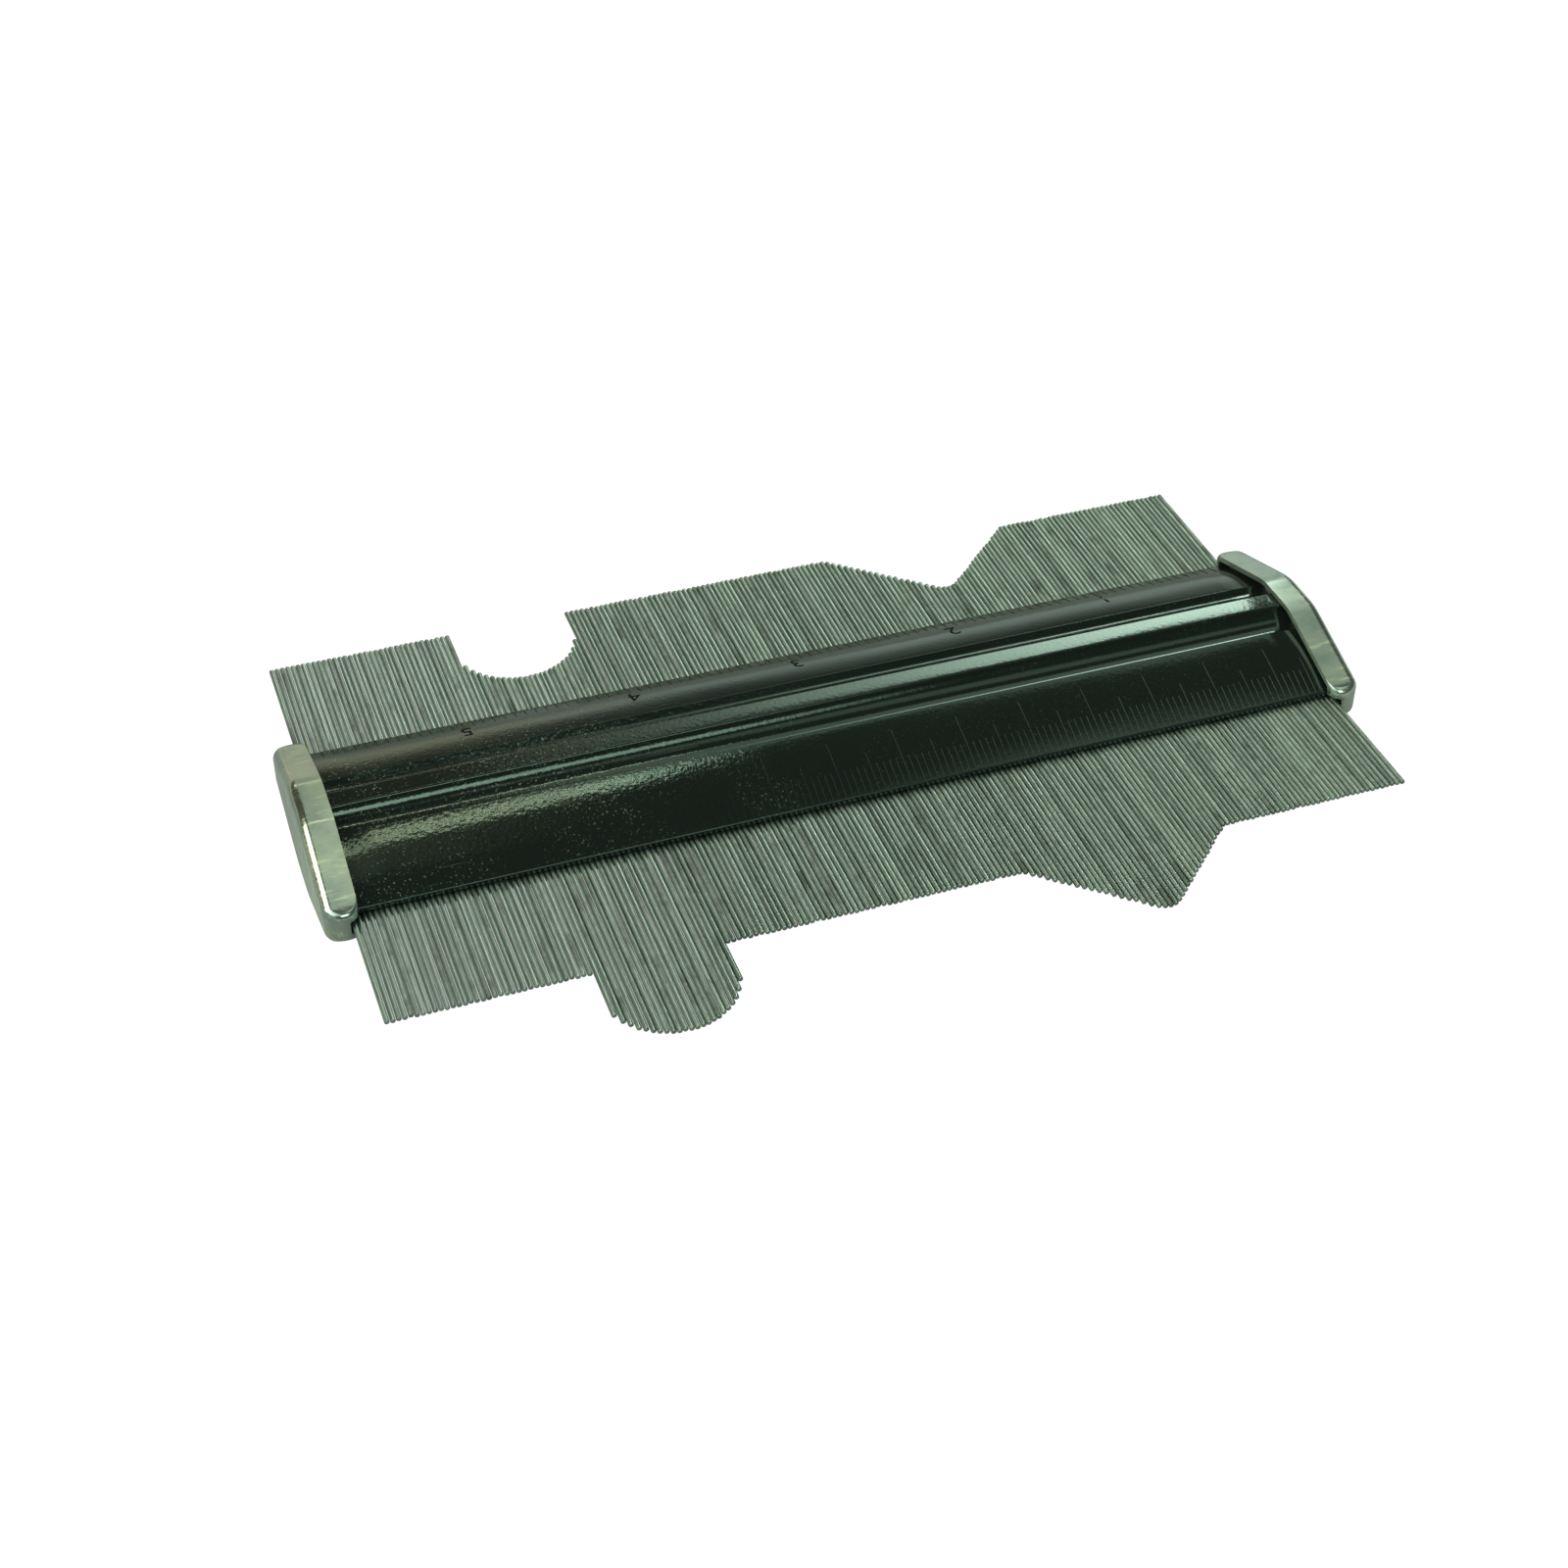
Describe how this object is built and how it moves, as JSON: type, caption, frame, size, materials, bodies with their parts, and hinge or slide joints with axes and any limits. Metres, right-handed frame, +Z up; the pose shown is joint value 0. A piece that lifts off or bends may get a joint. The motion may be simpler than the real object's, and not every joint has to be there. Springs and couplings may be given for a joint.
{
  "type": "contour gauge",
  "caption": "Contour gauge: a long black pressed-steel casing with plated end caps clamps a row of sliding steel wires that copy a profile, here a round bar and a square corner.",
  "frame": {"origin": "On the flat rib along the middle of the lower cover, halfway between the end caps, which reach 0.85 mm lower.", "axes": "+X along the casing towards the higher numbers of the millimetre scale, +Y along the wires towards the inch scale, +Z up out of the upper cover."},
  "size_m": [0.1568, 0.094, 0.0151],
  "materials": {
    "black_paint": "gloss",
    "plated_steel": "satin",
    "wire_steel": "satin",
    "inner_steel": "satin",
    "block_alloy": "satin",
    "felt": "matte"
  },
  "bodies": {
    "casing": {"upper_cover": "black_paint", "lower_cover": "black_paint", "left_end_cap": "plated_steel", "right_end_cap": "plated_steel", "left_end_block": "block_alloy", "right_end_block": "block_alloy", "upper_felt": "felt", "lower_felt": "felt", "upper_pressure_bar": "inner_steel", "lower_pressure_bar": "inner_steel", "upper_wavy_spring": "inner_steel", "lower_wavy_spring": "inner_steel"},
    "wires_01": {"wires_01": "wire_steel"},
    "wires_02": {"wires_02": "wire_steel"},
    "wires_03": {"wires_03": "wire_steel"},
    "wires_04": {"wires_04": "wire_steel"},
    "wires_05": {"wires_05": "wire_steel"},
    "wires_06": {"wires_06": "wire_steel"},
    "wires_07": {"wires_07": "wire_steel"},
    "wires_08": {"wires_08": "wire_steel"},
    "wires_09": {"wires_09": "wire_steel"},
    "wires_10": {"wires_10": "wire_steel"},
    "wires_11": {"wires_11": "wire_steel"},
    "wires_12": {"wires_12": "wire_steel"},
    "wires_13": {"wires_13": "wire_steel"},
    "wires_14": {"wires_14": "wire_steel"},
    "wires_15": {"wires_15": "wire_steel"},
    "wires_16": {"wires_16": "wire_steel"},
    "wires_17": {"wires_17": "wire_steel"},
    "wires_18": {"wires_18": "wire_steel"},
    "wires_19": {"wires_19": "wire_steel"},
    "wires_20": {"wires_20": "wire_steel"},
    "wires_21": {"wires_21": "wire_steel"},
    "wires_22": {"wires_22": "wire_steel"},
    "wires_23": {"wires_23": "wire_steel"},
    "wires_24": {"wires_24": "wire_steel"},
    "wires_25": {"wires_25": "wire_steel"},
    "wires_26": {"wires_26": "wire_steel"},
    "wires_27": {"wires_27": "wire_steel"},
    "wires_28": {"wires_28": "wire_steel"},
    "wires_29": {"wires_29": "wire_steel"},
    "wires_30": {"wires_30": "wire_steel"},
    "wires_31": {"wires_31": "wire_steel"},
    "wires_32": {"wires_32": "wire_steel"},
    "wires_33": {"wires_33": "wire_steel"},
    "wires_34": {"wires_34": "wire_steel"},
    "wires_35": {"wires_35": "wire_steel"},
    "wires_36": {"wires_36": "wire_steel"},
    "wires_37": {"wires_37": "wire_steel"},
    "wires_38": {"wires_38": "wire_steel"},
    "wires_39": {"wires_39": "wire_steel"},
    "wires_40": {"wires_40": "wire_steel"},
    "wires_41": {"wires_41": "wire_steel"},
    "wires_42": {"wires_42": "wire_steel"},
    "wires_43": {"wires_43": "wire_steel"},
    "wires_44": {"wires_44": "wire_steel"},
    "wires_45": {"wires_45": "wire_steel"},
    "wires_46": {"wires_46": "wire_steel"},
    "wires_47": {"wires_47": "wire_steel"}
  },
  "joints": [
    {"name": "wires_01_slide", "type": "slide", "parent": "casing", "child": "wires_01", "axis": [0, 1, 0], "range_m": [-0.0234, 0.0213]},
    {"name": "wires_02_slide", "type": "slide", "parent": "casing", "child": "wires_02", "axis": [0, 1, 0], "range_m": [-0.0234, 0.0213]},
    {"name": "wires_03_slide", "type": "slide", "parent": "casing", "child": "wires_03", "axis": [0, 1, 0], "range_m": [-0.0234, 0.0213]},
    {"name": "wires_04_slide", "type": "slide", "parent": "casing", "child": "wires_04", "axis": [0, 1, 0], "range_m": [-0.0234, 0.0213]},
    {"name": "wires_05_slide", "type": "slide", "parent": "casing", "child": "wires_05", "axis": [0, 1, 0], "range_m": [-0.0234, 0.0213]},
    {"name": "wires_06_slide", "type": "slide", "parent": "casing", "child": "wires_06", "axis": [0, 1, 0], "range_m": [-0.0234, 0.0213]},
    {"name": "wires_07_slide", "type": "slide", "parent": "casing", "child": "wires_07", "axis": [0, 1, 0], "range_m": [-0.0234, 0.0213]},
    {"name": "wires_08_slide", "type": "slide", "parent": "casing", "child": "wires_08", "axis": [0, 1, 0], "range_m": [-0.0234, 0.0213]},
    {"name": "wires_09_slide", "type": "slide", "parent": "casing", "child": "wires_09", "axis": [0, 1, 0], "range_m": [-0.01491, 0.0213]},
    {"name": "wires_10_slide", "type": "slide", "parent": "casing", "child": "wires_10", "axis": [0, 1, 0], "range_m": [-0.01101, 0.03125]},
    {"name": "wires_11_slide", "type": "slide", "parent": "casing", "child": "wires_11", "axis": [0, 1, 0], "range_m": [-0.00956, 0.0342]},
    {"name": "wires_12_slide", "type": "slide", "parent": "casing", "child": "wires_12", "axis": [0, 1, 0], "range_m": [-0.0093, 0.0353]},
    {"name": "wires_13_slide", "type": "slide", "parent": "casing", "child": "wires_13", "axis": [0, 1, 0], "range_m": [-0.00947, 0.03441]},
    {"name": "wires_14_slide", "type": "slide", "parent": "casing", "child": "wires_14", "axis": [0, 1, 0], "range_m": [-0.01074, 0.0318]},
    {"name": "wires_15_slide", "type": "slide", "parent": "casing", "child": "wires_15", "axis": [0, 1, 0], "range_m": [-0.0141, 0.0213]},
    {"name": "wires_16_slide", "type": "slide", "parent": "casing", "child": "wires_16", "axis": [0, 1, 0], "range_m": [-0.0234, 0.0213]},
    {"name": "wires_17_slide", "type": "slide", "parent": "casing", "child": "wires_17", "axis": [0, 1, 0], "range_m": [-0.0234, 0.0213]},
    {"name": "wires_18_slide", "type": "slide", "parent": "casing", "child": "wires_18", "axis": [0, 1, 0], "range_m": [-0.0234, 0.0213]},
    {"name": "wires_19_slide", "type": "slide", "parent": "casing", "child": "wires_19", "axis": [0, 1, 0], "range_m": [-0.0234, 0.0213]},
    {"name": "wires_20_slide", "type": "slide", "parent": "casing", "child": "wires_20", "axis": [0, 1, 0], "range_m": [-0.0234, 0.0213]},
    {"name": "wires_21_slide", "type": "slide", "parent": "casing", "child": "wires_21", "axis": [0, 1, 0], "range_m": [-0.0234, 0.0213]},
    {"name": "wires_22_slide", "type": "slide", "parent": "casing", "child": "wires_22", "axis": [0, 1, 0], "range_m": [-0.0234, 0.0213]},
    {"name": "wires_23_slide", "type": "slide", "parent": "casing", "child": "wires_23", "axis": [0, 1, 0], "range_m": [-0.0234, 0.0213]},
    {"name": "wires_24_slide", "type": "slide", "parent": "casing", "child": "wires_24", "axis": [0, 1, 0], "range_m": [-0.0234, 0.0213]},
    {"name": "wires_25_slide", "type": "slide", "parent": "casing", "child": "wires_25", "axis": [0, 1, 0], "range_m": [-0.0234, 0.0213]},
    {"name": "wires_26_slide", "type": "slide", "parent": "casing", "child": "wires_26", "axis": [0, 1, 0], "range_m": [-0.0234, 0.0213]},
    {"name": "wires_27_slide", "type": "slide", "parent": "casing", "child": "wires_27", "axis": [0, 1, 0], "range_m": [-0.0234, 0.0213]},
    {"name": "wires_28_slide", "type": "slide", "parent": "casing", "child": "wires_28", "axis": [0, 1, 0], "range_m": [-0.0234, 0.0213]},
    {"name": "wires_29_slide", "type": "slide", "parent": "casing", "child": "wires_29", "axis": [0, 1, 0], "range_m": [-0.02099, 0.02167]},
    {"name": "wires_30_slide", "type": "slide", "parent": "casing", "child": "wires_30", "axis": [0, 1, 0], "range_m": [-0.01827, 0.02439]},
    {"name": "wires_31_slide", "type": "slide", "parent": "casing", "child": "wires_31", "axis": [0, 1, 0], "range_m": [-0.01554, 0.02711]},
    {"name": "wires_32_slide", "type": "slide", "parent": "casing", "child": "wires_32", "axis": [0, 1, 0], "range_m": [-0.01282, 0.02984]},
    {"name": "wires_33_slide", "type": "slide", "parent": "casing", "child": "wires_33", "axis": [0, 1, 0], "range_m": [-0.01047, 0.03256]},
    {"name": "wires_34_slide", "type": "slide", "parent": "casing", "child": "wires_34", "axis": [0, 1, 0], "range_m": [-0.01041, 0.03282]},
    {"name": "wires_35_slide", "type": "slide", "parent": "casing", "child": "wires_35", "axis": [0, 1, 0], "range_m": [-0.01264, 0.02978]},
    {"name": "wires_36_slide", "type": "slide", "parent": "casing", "child": "wires_36", "axis": [0, 1, 0], "range_m": [-0.01568, 0.02674]},
    {"name": "wires_37_slide", "type": "slide", "parent": "casing", "child": "wires_37", "axis": [0, 1, 0], "range_m": [-0.01872, 0.02371]},
    {"name": "wires_38_slide", "type": "slide", "parent": "casing", "child": "wires_38", "axis": [0, 1, 0], "range_m": [-0.02175, 0.0213]},
    {"name": "wires_39_slide", "type": "slide", "parent": "casing", "child": "wires_39", "axis": [0, 1, 0], "range_m": [-0.0234, 0.0213]},
    {"name": "wires_40_slide", "type": "slide", "parent": "casing", "child": "wires_40", "axis": [0, 1, 0], "range_m": [-0.0234, 0.0213]},
    {"name": "wires_41_slide", "type": "slide", "parent": "casing", "child": "wires_41", "axis": [0, 1, 0], "range_m": [-0.0234, 0.0213]},
    {"name": "wires_42_slide", "type": "slide", "parent": "casing", "child": "wires_42", "axis": [0, 1, 0], "range_m": [-0.0234, 0.0213]},
    {"name": "wires_43_slide", "type": "slide", "parent": "casing", "child": "wires_43", "axis": [0, 1, 0], "range_m": [-0.0234, 0.0213]},
    {"name": "wires_44_slide", "type": "slide", "parent": "casing", "child": "wires_44", "axis": [0, 1, 0], "range_m": [-0.0234, 0.0213]},
    {"name": "wires_45_slide", "type": "slide", "parent": "casing", "child": "wires_45", "axis": [0, 1, 0], "range_m": [-0.0234, 0.0213]},
    {"name": "wires_46_slide", "type": "slide", "parent": "casing", "child": "wires_46", "axis": [0, 1, 0], "range_m": [-0.0234, 0.0213]},
    {"name": "wires_47_slide", "type": "slide", "parent": "casing", "child": "wires_47", "axis": [0, 1, 0], "range_m": [-0.0234, 0.0213]}
  ]
}
